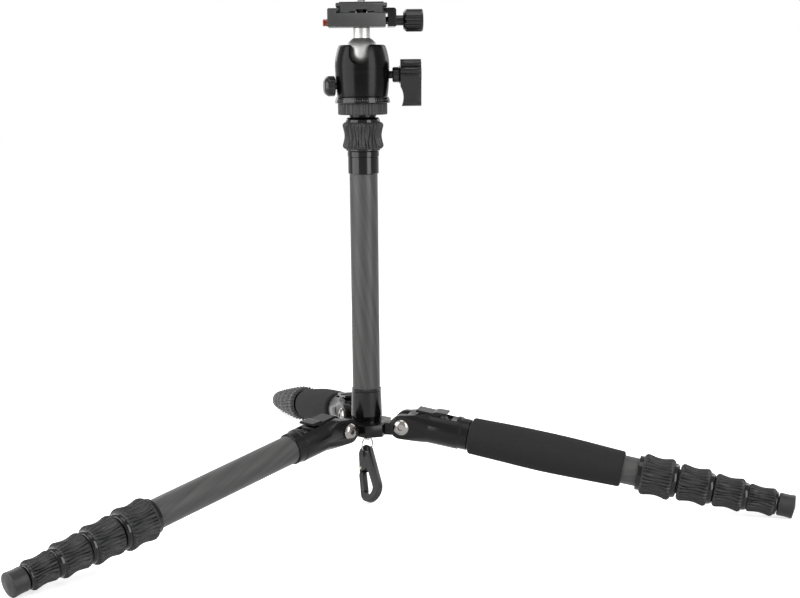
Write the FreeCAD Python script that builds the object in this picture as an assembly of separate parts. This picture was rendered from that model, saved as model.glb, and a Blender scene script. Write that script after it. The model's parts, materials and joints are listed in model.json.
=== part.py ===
# A five-section carbon travel tripod with a ball head, a quick-release clamp and a hanging ring and clip.
# Millimetres, +Z up, floor at Z = 0, origin at the middle of the footprint.
# The clamp knob points along +X and the quick-release dovetail runs along Y.
import FreeCAD
import Part
import math
import os

# ---- Legs: angles, tubes and reach ----
leg_azimuths = {"left": 225.0, "right": 345.0, "rear": 105.0}
foam_legs = ("right", "rear")
droop_deg = 10.0  # slope of a leg below the horizontal at its widest stop
tube_diameter = 22.0  # outer diameter of the first leg section and of the fixed column tube
tube_wall = 1.2
slide_gap = 0.3  # radial gap between nested tubes
section_count = 5
pivot_radius = 31.0  # from the column axis to a leg hinge
tube_lift = 2.8  # leg tube axis above its hinge
lock_centres = (203.0, 231.2, 257.9, 282.6)  # along the leg from its hinge
lock_lengths = (24.4, 23.6, 22.6, 21.4)
lock_walls = (5.2, 5.1, 5.0, 4.4)  # each lock's thickness over the tube that enters it
lock_tube_share = 0.6  # how far the wider tube reaches into its lock
section_starts = (42.5, 52.0, 58.0, 64.0, 70.0)  # hub ends of the nested tubes
foot_start = 295.4
foot_edge = 307.0  # where the foot's flat end begins
foot_wall = 4.0  # rubber over the last tube
foot_cone = 1.7
foot_socket = 8.0
foam_span = (54.4, 176.0)
foam_walls = (3.4, 4.5, 3.0)  # over the tube at the hub end, the fattest place and the far end

# ---- Hub: hinges, castings and latches ----
lug_width = 12.8
lug_radius = 8.2
fork_gap = 0.1  # beside the lug and under the bolt heads
fork_flat = 0.6  # how far each side of the fork is cut back from the casting's round
ear_radius = 9.5
ear_clearance = 2.3  # between the lug's round end and the fork's floor
bolt_radius = 3.0
bolt_head_radius = 6.3
bolt_head_height = 2.4
hex_size = 4.0
spider_top = 1.7  # above the hinge axis
spider_bottom = 7.9  # below the hinge axis
spider_floor = 3.0
facet_radius = 21.0
facet_width = 14.0
casting_wall = 2.0
casting_ear_radius = 17.5  # rounds the fork's corners at the hinge
casting_shoulder = 22.0
casting_groove = 46.0
casting_end = 53.4
casting_collar_wall = 1.3
latch_width = 14.4
latch_thickness = 2.0
latch_recess = 2.5  # depth of the latch's seat in the casting
latch_span = (8.5, 33.4)
latch_travel = 5.0
face_gap = 0.3  # between faces that slide past each other
running_gap = 0.06  # radial gap of a pin that turns in a hole
glue_gap = 0.02  # radial gap of parts that are fixed together

# ---- Column, from the spider's top upwards ----
ferrule_height = 27.3
column_bare = 170.9  # tube showing between ferrule and collar
collar_height = 17.6
collar_wall = 1.0
column_lock_length = 26.0
column_lock_wall = 5.2
neck_wall = 1.0
neck_height = 2.1
platform_radius = 19.25
platform_height = 8.9
stud_radius = 4.7
stud_height = 8.0

# ---- Ball head ----
base_ring_height = 4.8
base_ring_radius = 21.5
spindle_radius = 7.0
spindle_height = 10.0
housing_height = 39.7
housing_radii = (19.6, 20.95, 18.5)  # at the foot, the waist and the shoulder
housing_rim_radius = 16.8
housing_gap = 0.2
seam_heights = (9.9, 21.3)  # above the housing's foot
seam_size = 0.22
ball_radius = 13.4
ball_gap = 0.3
ball_height = 33.1  # ball centre above the housing's foot
notch_azimuth = 262.0
notch_radius = 7.7
notch_drop = 0.75  # notch's round bottom is centred this far below the ball centre
stem_radius = 6.4
clamp_bottom = 20.1  # above the ball centre
stem_pin_radius = 4.0
stem_pin_height = 6.0

# ---- Quick release, heights above the ball centre ----
clamp_length = 46.0
clamp_left = 26.0
clamp_right = 18.4
clamp_slab_top = 30.3
jaw_top = 34.1
jaw_inner = 20.4
jaw_outer = 26.5
dovetail_half = 19.0
neck_half = 16.0
dovetail_lip = 0.8
dovetail_gap = 0.2
plate_length = 45.0
plate_half = 19.6
plate_end_relief = 2.4  # the dovetail stops this far short of each end
plate_bottom = 30.5
plate_flange = 35.4
plate_top = 38.0
pad_thickness = 0.8
pad_half = (17.0, 20.0)
camera_screw_radius = 3.175
camera_screw_length = 4.8
camera_shank_radius = 2.9
camera_head_radius = 7.5
camera_boss_radius = 4.0  # the slotted boss under the screw's head
camera_boss_height = 1.4
clamp_screw_height = 25.0
clamp_screw_radius = 3.0
guide_rod_radius = 2.0
guide_rod_offset = 15.0
button_height = 23.7
button_radius = 2.8
button_out = 3.9
button_travel = 2.0

# ---- Knobs ----
clamp_knob_radius = 8.75
clamp_knob_span = (32.0, 47.5)
clamp_knob_shaft = 3.95
main_knob_drop = 16.5  # below the ball centre
main_screw_radius = 3.0
main_hub_radius = 6.0
main_hub_span = (23.4, 29.6)
main_body_span = (29.6, 45.7)
main_crown_radius = 11.9
main_wing_reach = 24.4
main_wing_half = 4.6
pan_knob_drop = 24.8
pan_knob_azimuth = 190.0
pan_knob_radius = 7.8
pan_knob_span = (21.9, 30.2)
pan_screw_radius = 2.5

# ---- Hook, ring and clip under the hub ----
stud_shaft_radius = 2.5
stud_flange_radius = 3.6
stud_flange_height = 1.5
eye_drop = 2.7  # below the stud's flange
eye_radius = 2.6
eye_hole_radius = 1.3
eye_thickness = 2.2
ring_azimuth = 225.0  # the ring stands in the upright plane through this direction
ring_radius = 6.0
wire_radius = 0.7
clip_thickness = 5.4
clip_crown = (-1.5, 6.5, 6.5)  # across, down and radius of the clip's round ends
clip_heel = (0.5, 40.5, 10.5)
clip_mouth_top = (-1.8, 24.5, 2.8)
clip_mouth_foot = (-0.4, 40.8, 5.0)
clip_slot_radius = 2.7
clip_slot_span = (4.5, 9.4)
clip_slot_across = 0.6
clip_hang = 5.8  # ring wire's place below the clip's crown
gate_width = 5.2
gate_span = (23.0, 40.0)
gate_pivot_drop = 18.6
gate_pivot_radius = 0.8
gate_tongue = 2.8
gate_play = 0.25
lean_azimuth = 276.0  # the clip's foot leans on the floor this way
floor_gap = 0.25

origin = FreeCAD.Vector(0, 0, 0)
x_axis = FreeCAD.Vector(1, 0, 0)
y_axis = FreeCAD.Vector(0, 1, 0)
z_axis = FreeCAD.Vector(0, 0, 1)
droop = math.radians(droop_deg)

# ---- Sizes that follow ----
tube_radii = [tube_diameter / 2 - k * (tube_wall + slide_gap) for k in range(section_count)]
lock_radii = [radius + wall for radius, wall in zip(tube_radii, lock_walls)]
foam_radii = [tube_radii[0] + wall for wall in foam_walls]
foot_radius = tube_radii[-1] + foot_wall
casting_radius = tube_radii[0] + casting_wall
casting_collar_radius = tube_radii[0] + casting_collar_wall
fork_width = 2 * (casting_radius - fork_flat)
latch_floor = tube_lift + casting_radius - latch_recess
column_lock_radius = tube_radii[0] + column_lock_wall
collar_radius = tube_radii[0] + collar_wall
neck_radius = tube_radii[1] + neck_wall
pivot_height = foot_edge * math.sin(droop) + (foot_radius - tube_lift) * math.cos(droop)
ferrule_base = pivot_height + spider_top
ferrule_lip = ferrule_base + ferrule_height
collar_base = ferrule_lip + column_bare
column_lock_base = collar_base + collar_height + face_gap
column_lock_top = column_lock_base + column_lock_length
disc_base = column_lock_top + neck_height
disc_top = disc_base + platform_height
housing_base = disc_top + base_ring_height + housing_gap
housing_top = housing_base + housing_height
ball_centre = housing_base + ball_height
socket_floor = pivot_height - spider_bottom + spider_floor
cavity_radius = ball_radius + ball_gap


def foot_reach(angle):
    """How far the foot's rim reaches from the column axis along a direction this far off its leg."""
    out = pivot_radius + foot_edge * math.cos(droop) + tube_lift * math.sin(droop)
    spread = foot_radius * math.hypot(math.cos(angle) * math.sin(droop), math.sin(angle))
    return out * math.cos(angle) + spread


footprint_high = foot_reach(math.radians(360.0 - leg_azimuths["right"]))
footprint_low = foot_reach(math.radians(leg_azimuths["left"] - 180.0))
column_offset = (footprint_low - footprint_high) / 2
column = FreeCAD.Vector(column_offset, column_offset, 0)


def vec(x, y, z):
    """A point or direction."""
    return FreeCAD.Vector(x, y, z)


def compass(azimuth, elevation_z=0.0):
    """A level direction at this azimuth, counted from +X towards +Y."""
    angle = math.radians(azimuth)
    return vec(math.cos(angle), math.sin(angle), elevation_z)


def outline(steps):
    """A closed wire in the XZ plane: each step is a point, or a middle and an end point for an arc."""
    start = steps[0]
    here = vec(start[0], 0, start[1])
    edges = []
    for step in list(steps[1:]) + [start]:
        if isinstance(step[0], tuple):
            middle = vec(step[0][0], 0, step[0][1])
            there = vec(step[1][0], 0, step[1][1])
            edges.append(Part.Arc(here, middle, there).toShape())
        else:
            there = vec(step[0], 0, step[1])
            if here.distanceToPoint(there) > 1e-7:
                edges.append(Part.LineSegment(here, there).toShape())
        here = there
    return Part.Wire(edges)


def turned(steps):
    """A solid turned about Z from an outline of (radius, height) steps."""
    return Part.Face(outline(steps)).revolve(origin, z_axis, 360)


def slab(steps, low, high):
    """An XZ outline pushed along Y from low to high."""
    face = Part.Face(outline(steps))
    face.translate(vec(0, low, 0))
    return face.extrude(vec(0, high - low, 0))


def rod(radius, low, high):
    """A round bar on Z."""
    return Part.makeCylinder(radius, high - low, vec(0, 0, low), z_axis)


def pipe(outer, inner, low, high):
    """A round tube on Z."""
    return rod(outer, low, high).cut(rod(inner, low, high))


def block(low, high):
    """A box between two corners."""
    return Part.makeBox(high[0] - low[0], high[1] - low[1], high[2] - low[2], vec(*low))


def moved(shape, place):
    """A copy of the shape, carried by a vector."""
    copy = shape.copy()
    copy.translate(place)
    return copy


def lie_along_x(shape):
    """Turns a shape made on Z so that it lies on X."""
    copy = shape.copy()
    copy.rotate(origin, y_axis, 90)
    return copy


def pointing(shape, azimuth, height):
    """Lays a shape made on Z along a level direction from the column axis at this height."""
    copy = lie_along_x(shape)
    copy.rotate(origin, z_axis, azimuth)
    copy.translate(vec(0, 0, height))
    return copy


def on_leg(shape, azimuth):
    """Places a shape made round a level leg, hinge at the origin and leg on +X, on the real leg."""
    copy = shape.copy()
    copy.rotate(origin, y_axis, droop_deg)
    copy.translate(vec(pivot_radius, 0, pivot_height))
    copy.rotate(origin, z_axis, azimuth)
    return copy


def on_tube(shape):
    """Lifts a shape made on Z onto the leg tube's axis."""
    return moved(lie_along_x(shape), vec(0, 0, tube_lift))


def save(node, shapes):
    """Writes one named piece, which may be several solids, at its place in the part's frame."""
    solids = [solid for shape in shapes for solid in shape.Solids]
    whole = solids[0] if len(solids) == 1 else Part.makeCompound(solids)
    moved(whole, column).exportStep("parts/" + node + ".step")
    saved.append(node)


# ---- Locks: a turning nut with a rubber sleeve, made on Z from its wide-tube end ----
def lock_solids(length, radius, wide_tube, narrow_tube):
    collar = 0.83 * radius
    core = radius - 2.6
    step = lock_tube_share * length + 0.5
    sleeve_low = 0.17 * length
    sleeve_high = 0.87 * length
    wide_bore = wide_tube + slide_gap
    narrow_bore = narrow_tube + slide_gap
    nut = turned([
        (wide_bore, 0), (collar - 0.6, 0), (collar, 0.6), (collar, sleeve_low),
        (core, sleeve_low), (core, sleeve_high),
        (0.95 * radius, sleeve_high), ((0.93 * radius, length - 1.2), (0.82 * radius, length)),
        (narrow_bore, length), (narrow_bore, step), (wide_bore, step),
    ])
    skin = core + glue_gap
    waist = 0.955 * radius
    middle = (sleeve_low + sleeve_high) / 2
    flare = 0.22 * (sleeve_high - sleeve_low)
    sleeve = turned([
        (skin, sleeve_low), (radius - 0.8, sleeve_low), (radius, sleeve_low + 0.8),
        (radius, sleeve_low + flare),
        ((waist, middle), (radius, sleeve_high - flare)),
        (radius, sleeve_high - 0.8), (radius - 0.8, sleeve_high), (skin, sleeve_high),
    ])
    return [nut, sleeve]


# ---- Hub ----
def make_spider():
    corners = []
    for azimuth in sorted(leg_azimuths.values()):
        middle = compass(azimuth + 60.0) * facet_radius
        side = compass(azimuth + 150.0) * (facet_width / 2)
        corners += [middle - side, middle + side]
    corners.append(corners[0])
    base = Part.Face(Part.makePolygon(corners))
    base.translate(vec(0, 0, pivot_height - spider_bottom))
    body = base.extrude(vec(0, 0, spider_bottom + spider_top))
    half = lug_width / 2
    for azimuth in leg_azimuths.values():
        bar = block((0, -half, -spider_bottom), (pivot_radius, half, spider_top))
        end = Part.makeCylinder(lug_radius, lug_width, vec(pivot_radius, -half, 0), y_axis)
        bore = Part.makeCylinder(bolt_radius + glue_gap, lug_width, vec(pivot_radius, -half, 0), y_axis)
        lug = bar.fuse(end).cut(bore)
        lug.rotate(origin, z_axis, azimuth)
        lug.translate(vec(0, 0, pivot_height))
        body = body.fuse(lug)
    body = body.cut(rod(tube_radii[0] + glue_gap, socket_floor, ferrule_base + 1))
    body = body.cut(rod(stud_shaft_radius + glue_gap, 0, ferrule_base))
    return body.removeSplitter()


def make_hinge_bolts():
    seat = fork_width / 2 + fork_gap
    face = seat + bolt_head_height
    bolt = turned([
        (0, -face), (bolt_head_radius * 0.35, -face),
        ((bolt_head_radius * 0.8, -face + 0.7), (bolt_head_radius, -seat - 0.5)),
        (bolt_head_radius, -seat), (bolt_radius, -seat), (bolt_radius, seat),
        (bolt_head_radius, seat), (bolt_head_radius, seat + 0.5),
        ((bolt_head_radius * 0.8, face - 0.7), (bolt_head_radius * 0.35, face)), (0, face),
    ])
    corner = hex_size / math.sqrt(3)
    corners = [compass(60.0 * k) * corner for k in range(7)]
    for end in (-1, 1):
        floor = end * (face - 1.6)
        hexagon = Part.Face(Part.makePolygon(corners)).extrude(vec(0, 0, end * 2.0))
        bolt = bolt.cut(moved(hexagon, vec(0, 0, floor)))
    bolt.rotate(origin, x_axis, 90)
    bolts = []
    for azimuth in leg_azimuths.values():
        copy = moved(bolt, vec(pivot_radius, 0, pivot_height))
        copy.rotate(origin, z_axis, azimuth)
        bolts.append(copy)
    return bolts


def make_column_ferrule():
    skin = tube_radii[0] + glue_gap
    top = ferrule_lip
    low = ferrule_base
    return turned([
        (skin, low), (skin + 0.55, low), (skin + 0.55, low + 1.4), (skin + 1.4, low + 5.4),
        (skin + 0.75, top - 2.6), (skin + 0.45, top - 2.4), (skin + 0.45, top - 1.9),
        (skin + 0.75, top - 1.7), (skin + 0.75, top - 0.4), (skin + 0.35, top), (skin, top),
    ])


def make_column_collar():
    skin = tube_radii[0] + glue_gap
    low = collar_base
    top = collar_base + collar_height
    band = top - 4.2
    return turned([
        (skin, low), (collar_radius - 0.4, low), (collar_radius, low + 0.4),
        (collar_radius, band - 0.5), (collar_radius - 0.3, band - 0.3), (collar_radius - 0.3, band),
        (collar_radius + 0.3, band + 0.2), (collar_radius + 0.3, top - 0.3),
        (collar_radius, top), (skin, top),
    ])


def make_column_outer_tube():
    top = column_lock_base + lock_tube_share * column_lock_length
    return pipe(tube_radii[0], tube_radii[0] - tube_wall, socket_floor, top)


def make_hook_stud():
    under = pivot_height - spider_bottom
    seat = under - stud_flange_height
    eye = seat - eye_drop
    shaft = rod(stud_shaft_radius, seat, socket_floor - face_gap)
    flange = rod(stud_flange_radius, seat, under)
    half = eye_thickness / 2
    tab = Part.makeCylinder(eye_radius, eye_thickness, vec(-half, 0, eye), x_axis)
    neck = block((-half, -eye_radius, eye), (half, eye_radius, seat + 0.5))
    hole = Part.makeCylinder(eye_hole_radius, 2 * eye_thickness, vec(-eye_thickness, 0, eye), x_axis)
    loop = tab.fuse(neck).cut(hole)
    loop.rotate(origin, z_axis, ring_azimuth)
    return shaft.fuse(flange).fuse(loop).removeSplitter()


def make_split_ring(play=0.0):
    torus = Part.makeTorus(ring_radius, wire_radius + play, origin, compass(ring_azimuth + 90.0))
    return moved(torus, vec(0, 0, ring_centre))


# ---- Clip: made hanging, with X across, Z up and the ring's wire at the origin ----
def hull_of_circles(first, second, low, high):
    """Two circles, each (across, down, radius), joined by their outer tangents, pushed along Y."""
    a = vec(first[0], 0, clip_hang - first[1])
    b = vec(second[0], 0, clip_hang - second[1])
    gap = b - a
    distance = gap.Length
    lean = math.asin((first[2] - second[2]) / distance)
    heading = math.atan2(gap.z, gap.x)
    corners = []
    for side in (1, -1):
        normal = heading + side * (math.pi / 2 - lean)
        reach = vec(math.cos(normal), 0, math.sin(normal))
        corners.append((a + reach * first[2], b + reach * second[2]))
    corners = [corners[0][0], corners[0][1], corners[1][1], corners[1][0], corners[0][0]]
    band = Part.Face(Part.makePolygon(corners))
    band.translate(vec(0, low, 0))
    hull = band.extrude(vec(0, high - low, 0))
    for circle in (first, second):
        centre = vec(circle[0], low, clip_hang - circle[1])
        hull = hull.fuse(Part.makeCylinder(circle[2], high - low, centre, y_axis))
    return hull.removeSplitter()


def clip_box(across, down, thick):
    """A box in the clip's own measures: across, down from the crown, and through."""
    return block((across[0], -thick / 2, clip_hang - down[1]), (across[1], thick / 2, clip_hang - down[0]))


gate_left = clip_heel[0] - clip_heel[2] + 0.1
gate_right = gate_left + gate_width
gate_pivot_across = gate_left + gate_width * 0.6


def clip_pin(radius, thick):
    """A bar through the clip at the gate's pivot."""
    start = vec(gate_pivot_across, -thick / 2, clip_hang - gate_pivot_drop)
    return Part.makeCylinder(radius, thick, start, y_axis)


def make_clip_body():
    half = clip_thickness / 2
    body = hull_of_circles(clip_crown, clip_heel, -half, half)
    edges = [edge for edge in body.Edges if abs(edge.BoundBox.YMin - edge.BoundBox.YMax) < 1e-6]
    body = body.makeChamfer(0.7, edges)
    body = body.cut(hull_of_circles(clip_mouth_top, clip_mouth_foot, -half - 1, half + 1))
    slot = (clip_slot_across, clip_slot_span[0], clip_slot_radius)
    slot_foot = (clip_slot_across - 0.4, clip_slot_span[1], clip_slot_radius)
    body = body.cut(hull_of_circles(slot, slot_foot, -half - 1, half + 1))
    window_right = gate_right + gate_play
    window = clip_box((-20, window_right), (gate_span[0] - gate_play, gate_span[1] + 2 * gate_play), 20)
    swept = clip_box((gate_pivot_across, clip_mouth_top[0]), (gate_pivot_drop + 3.3, gate_span[0] + 2), 20)
    body = body.cut(window).cut(swept)
    gap = gate_tongue + 2 * gate_play
    pocket = clip_box((-20, window_right + 1), (gate_pivot_drop - 2.9, gate_span[0] + 0.5), gap)
    body = body.cut(pocket).cut(clip_pin(gate_pivot_radius + glue_gap, 20))
    rivet = clip_pin(gate_pivot_radius, clip_thickness + 0.3)
    return [body, rivet]


def make_clip_gate():
    bar = clip_box((gate_left, gate_right), gate_span, clip_thickness - 0.4)
    long_edges = [e for e in bar.Edges if abs(e.BoundBox.ZMax - e.BoundBox.ZMin) > 5]
    bar = bar.makeChamfer(0.6, long_edges)
    tongue_end = clip_pin(1.7, gate_tongue)
    pivot_low = gate_span[0] + 1
    tongue = clip_box((gate_pivot_across - 1.7, gate_pivot_across + 1.7), (gate_pivot_drop, pivot_low), gate_tongue)
    gate = bar.fuse(tongue_end).fuse(tongue)
    return gate.cut(clip_pin(gate_pivot_radius + running_gap, 20)).removeSplitter()


ring_centre = pivot_height - spider_bottom - stud_flange_height - eye_drop - ring_radius
ring_bottom = ring_centre - ring_radius


def clip_lowest(lean):
    """Height of the leaning clip's lowest point."""
    face_tilt = math.cos(math.radians(lean_azimuth - ring_azimuth)) * math.sin(lean)
    side_tilt = math.cos(math.radians(ring_azimuth + 90.0 - lean_azimuth)) * math.sin(lean)
    heel = clip_heel[2] * math.sqrt(1 - face_tilt ** 2) + clip_thickness / 2 * face_tilt
    drop = (clip_heel[1] - clip_hang) * math.cos(lean) - clip_heel[0] * side_tilt
    return ring_bottom - drop - heel


def clip_lean():
    """The lean at which the clip's foot meets the floor."""
    low, high = 0.0, math.pi / 2
    for _ in range(50):
        middle = (low + high) / 2
        if clip_lowest(middle) < floor_gap:
            low = middle
        else:
            high = middle
    return high


def leaning(shape):
    """Hangs a clip piece from the ring and leans it on the floor."""
    copy = shape.copy()
    copy.rotate(origin, z_axis, ring_azimuth + 90.0)
    copy.rotate(origin, compass(lean_azimuth + 90.0), -math.degrees(clip_lean()))
    copy.translate(vec(0, 0, ring_bottom))
    return copy


# ---- Legs ----
def make_casting():
    half = fork_width / 2
    top = tube_lift + casting_radius - 0.2
    low = tube_lift - casting_radius + 0.6
    web = slab([(0, ear_radius), (casting_shoulder, top), (casting_shoulder, low), (0, -ear_radius)], -half, half)
    ears = Part.makeCylinder(ear_radius, fork_width, vec(0, -half, 0), y_axis)
    rounding = on_tube(turned([
        (0, -2 * ear_radius), (casting_ear_radius, -2 * ear_radius), (casting_ear_radius, 0),
        (casting_radius, casting_shoulder), (0, casting_shoulder),
    ]))
    fork = web.fuse(ears).common(rounding)
    barrel = on_tube(turned([
        (0, casting_shoulder - 4), (casting_radius - 1.6, casting_shoulder - 4),
        (casting_radius, casting_shoulder - 1.5), (casting_radius, casting_groove - 0.4),
        (casting_radius - 0.5, casting_groove), (casting_radius - 0.5, casting_groove + 0.7),
        (casting_collar_radius, casting_groove + 0.9), (casting_collar_radius, casting_end - 0.5),
        (casting_collar_radius - 0.5, casting_end), (0, casting_end),
    ]))
    body = fork.fuse(barrel)
    for side in (-1, 1):
        outside = Part.makeCylinder(casting_shoulder, 3, vec(0, side * (half + 1.5) - 1.5, 0), y_axis)
        body = body.cut(outside)
    floor_radius = lug_radius + ear_clearance
    gap = lug_width / 2 + fork_gap
    slot = Part.makeCylinder(floor_radius, 2 * gap, vec(0, -gap, 0), y_axis)
    slot = slot.fuse(block((-30, -gap, -floor_radius), (0, gap, floor_radius)))
    slot = slot.fuse(block((-30, -gap, -30), (floor_radius, gap, 0)))
    body = body.cut(slot)
    hinge_hole = Part.makeCylinder(bolt_radius + running_gap, 60, vec(0, -30, 0), y_axis)
    bore = on_tube(rod(tube_radii[0] + glue_gap, section_starts[0] - 0.5, casting_end + 1))
    seat_half = latch_width / 2 + face_gap
    seat_end = latch_span[1] + latch_travel + 4.0
    seat = block((latch_span[0] - 4.5, -seat_half, latch_floor), (seat_end, seat_half, latch_floor + 10))
    scoop = Part.makeCylinder(3.4, latch_width, vec(latch_span[1] + 1.2, -latch_width / 2, latch_floor + 1.4), y_axis)
    return body.cut(hinge_hole).cut(bore).cut(seat).cut(scoop).removeSplitter()


def make_latch():
    low = latch_floor + face_gap
    top = low + latch_thickness
    start, end = latch_span
    half = latch_width / 2
    return slab([
        (start, low), (end - 7, low), ((end - 6, low + 0.8), (end - 4.4, low + 1.3)), (end - 0.6, low + 1.7),
        (end, low + 2.4), (end, low + 3.2), (end - 0.7, low + 3.8), (end - 8.6, low + 3.3),
        ((end - 9.8, low + 2.9), (end - 11.4, top)), (start + 0.8, top), (start, top - 0.8),
    ], -half, half)


def make_section(index):
    """One leg tube, from the widest, with the foot on the last."""
    radius = tube_radii[index]
    low = section_starts[index]
    if index < section_count - 1:
        lock_start = lock_centres[index] - lock_lengths[index] / 2
        high = lock_start + lock_tube_share * lock_lengths[index]
        return [on_tube(pipe(radius, radius - tube_wall, low, high))]
    high = foot_start + foot_socket - 0.2
    tube = pipe(radius, radius - tube_wall, low, high)
    tip = foot_edge + foot_cone
    foot = turned([
        (radius + glue_gap, foot_start), (foot_radius - 1.0, foot_start),
        (foot_radius, foot_start + 1.0), (foot_radius, foot_edge), (0, tip),
        (0, foot_start + foot_socket), (radius + glue_gap, foot_start + foot_socket),
    ])
    return [on_tube(tube), on_tube(foot)]


def make_foam():
    start, end = foam_span
    near, fat, far = foam_radii
    skin = tube_radii[0] + face_gap
    return on_tube(turned([
        (skin, start), (near - 1.6, start), ((near - 0.4, start + 0.5), (near, start + 1.8)),
        ((fat, start + 0.45 * (end - start)), (far, end - 1.8)),
        ((far - 0.4, end - 0.5), (far - 1.6, end)), (skin, end),
    ]))


def make_leg(name, azimuth):
    save(name + "_leg_casting", [on_leg(make_casting(), azimuth)])
    save(name + "_angle_latch", [on_leg(make_latch(), azimuth)])
    for index in range(section_count):
        save(name + "_section_" + str(index + 1), [on_leg(s, azimuth) for s in make_section(index)])
    for index, centre in enumerate(lock_centres):
        solids = lock_solids(lock_lengths[index], lock_radii[index], tube_radii[index], tube_radii[index + 1])
        start = centre - lock_lengths[index] / 2
        placed = [on_leg(on_tube(moved(s, vec(0, 0, start))), azimuth) for s in solids]
        save(name + "_lock_" + str(index + 1), placed)
    if name in foam_legs:
        save(name + "_foam_grip", [on_leg(make_foam(), azimuth)])


# ---- Column top and ball head ----
def make_column_inner_tube():
    return pipe(tube_radii[1], tube_radii[1] - tube_wall, socket_floor + 1, disc_base)


def make_head_platform():
    skin = tube_radii[1] - tube_wall - glue_gap
    low = disc_base
    edge = platform_radius
    disc = turned([
        (0, low - 14), (skin, low - 14), (skin, low), (edge - 0.8, low), (edge, low + 0.8),
        (edge, disc_top - 0.6), (edge - 0.6, disc_top), (stud_radius, disc_top),
        (stud_radius, disc_top + stud_height), (0, disc_top + stud_height),
    ])
    neck = pipe(neck_radius, tube_radii[1] + glue_gap, column_lock_top + face_gap, low)
    return disc.fuse(neck).removeSplitter()


def make_base_ring():
    low = disc_top
    top = disc_top + base_ring_height
    edge = base_ring_radius
    spindle = top + spindle_height
    return turned([
        (stud_radius + glue_gap, low), (edge - 0.4, low), (edge, low + 0.5), (edge - 0.2, low + 1.4),
        (edge - 1.0, top - 0.4), (edge - 1.5, top), (spindle_radius, top), (spindle_radius, spindle),
        (0, spindle), (0, low + stud_height + 0.4), (stud_radius + glue_gap, low + stud_height + 0.4),
    ])


def make_housing():
    foot, waist, shoulder = housing_radii
    low, top = housing_base, housing_top
    body = turned([
        (0, low), (foot - 0.3, low), (foot, low + 0.3),
        ((waist - 0.25, low + 10.0), (waist, low + 18.0)),
        ((waist - 0.2, low + 29.0), (shoulder, top - 1.6)),
        ((shoulder - 0.7, top - 0.45), (housing_rim_radius, top)), (0, top),
    ])
    cavity = Part.makeSphere(cavity_radius, vec(0, 0, ball_centre))
    mouth = rod(math.sqrt(cavity_radius ** 2 - (top - ball_centre) ** 2), ball_centre + 5, top + 1)
    body = body.cut(cavity).cut(mouth)
    body = body.cut(rod(spindle_radius + running_gap, low - 1, low + spindle_height + 0.2))
    notch_floor = ball_centre - notch_drop
    notch = Part.makeCylinder(notch_radius, 30, vec(0, 0, notch_floor), x_axis)
    notch = notch.fuse(block((0, -notch_radius, notch_floor), (30, notch_radius, top + 1)))
    notch.rotate(origin, z_axis, notch_azimuth)
    body = body.cut(notch)
    body = body.cut(pointing(rod(main_screw_radius + running_gap, 8, 30), 0, ball_centre - main_knob_drop))
    pan_bore = rod(pan_screw_radius + running_gap, 0, 30)
    body = body.cut(pointing(pan_bore, pan_knob_azimuth, ball_centre - pan_knob_drop))
    for height in seam_heights:
        seam = low + height
        body = body.cut(pipe(waist + 2, waist - 0.25 - seam_size, seam, seam + seam_size))
    return body


def make_ball():
    return Part.makeSphere(ball_radius, vec(0, 0, ball_centre))


def make_ball_stem():
    top = ball_centre + clamp_bottom - 0.1
    stem = turned([
        (0, ball_centre + 8), (stem_radius, ball_centre + 8), (stem_radius, top - 0.5),
        (stem_radius - 0.5, top), (stem_pin_radius, top),
        (stem_pin_radius, top + stem_pin_height), (0, top + stem_pin_height),
    ])
    return stem.cut(Part.makeSphere(ball_radius + 0.05, vec(0, 0, ball_centre)))


def bar_along_x(radius, low, high, height):
    """A round bar on X at this height above the ball centre."""
    return Part.makeCylinder(radius, high - low, vec(low, 0, ball_centre + height), x_axis)


def make_clamp_body():
    lift = ball_centre
    bottom = lift + clamp_bottom
    slab_top = lift + clamp_slab_top
    lip_x = dovetail_half + face_gap
    slope_foot = lift + plate_bottom + dovetail_lip
    rise = lift + jaw_top - slope_foot
    half = clamp_length / 2
    body = slab([
        (-clamp_left, bottom + 0.5), (-clamp_left + 0.5, bottom), (clamp_right, bottom), (clamp_right, slab_top),
        (-lip_x, slab_top), (-lip_x, slope_foot), (-lip_x + rise, lift + jaw_top),
        (-clamp_left + 0.8, lift + jaw_top), (-clamp_left, lift + jaw_top - 0.8),
    ], -half, half)
    pin_hole = rod(stem_pin_radius + running_gap, bottom - 1, bottom + stem_pin_height + 0.2)
    button_bore_end = -clamp_left + 8.6
    body = body.cut(pin_hole)
    body = body.cut(bar_along_x(button_radius + running_gap, -clamp_left - 1, button_bore_end, button_height))
    body = body.cut(bar_along_x(clamp_screw_radius + running_gap, 6, 30, clamp_screw_height))
    for side in (-1, 1):
        hole = bar_along_x(guide_rod_radius + running_gap, 6, 30, clamp_screw_height)
        body = body.cut(moved(hole, vec(0, side * guide_rod_offset, 0)))
    return body.removeSplitter()


def make_clamp_jaw():
    lift = ball_centre
    bottom = lift + clamp_bottom
    lip_x = dovetail_half + face_gap
    slope_foot = lift + plate_bottom + dovetail_lip
    rise = lift + jaw_top - slope_foot
    shelf = lift + clamp_slab_top + face_gap
    half = clamp_length / 2
    jaw = slab([
        (jaw_inner, bottom), (jaw_outer - 0.5, bottom), (jaw_outer, bottom + 0.5),
        (jaw_outer, lift + jaw_top - 2.0), ((jaw_outer - 0.6, lift + jaw_top - 0.6), (jaw_outer - 2.0, lift + jaw_top)),
        (lip_x - rise, lift + jaw_top), (lip_x, slope_foot), (lip_x, shelf), (jaw_inner, shelf),
    ], -half, half)
    jaw = jaw.cut(bar_along_x(clamp_screw_radius + running_gap, 10, 30, clamp_screw_height))
    for side in (-1, 1):
        guide = bar_along_x(guide_rod_radius, 8, jaw_inner + 1, clamp_screw_height)
        jaw = jaw.fuse(moved(guide, vec(0, side * guide_rod_offset, 0)))
    return jaw.removeSplitter()


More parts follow.
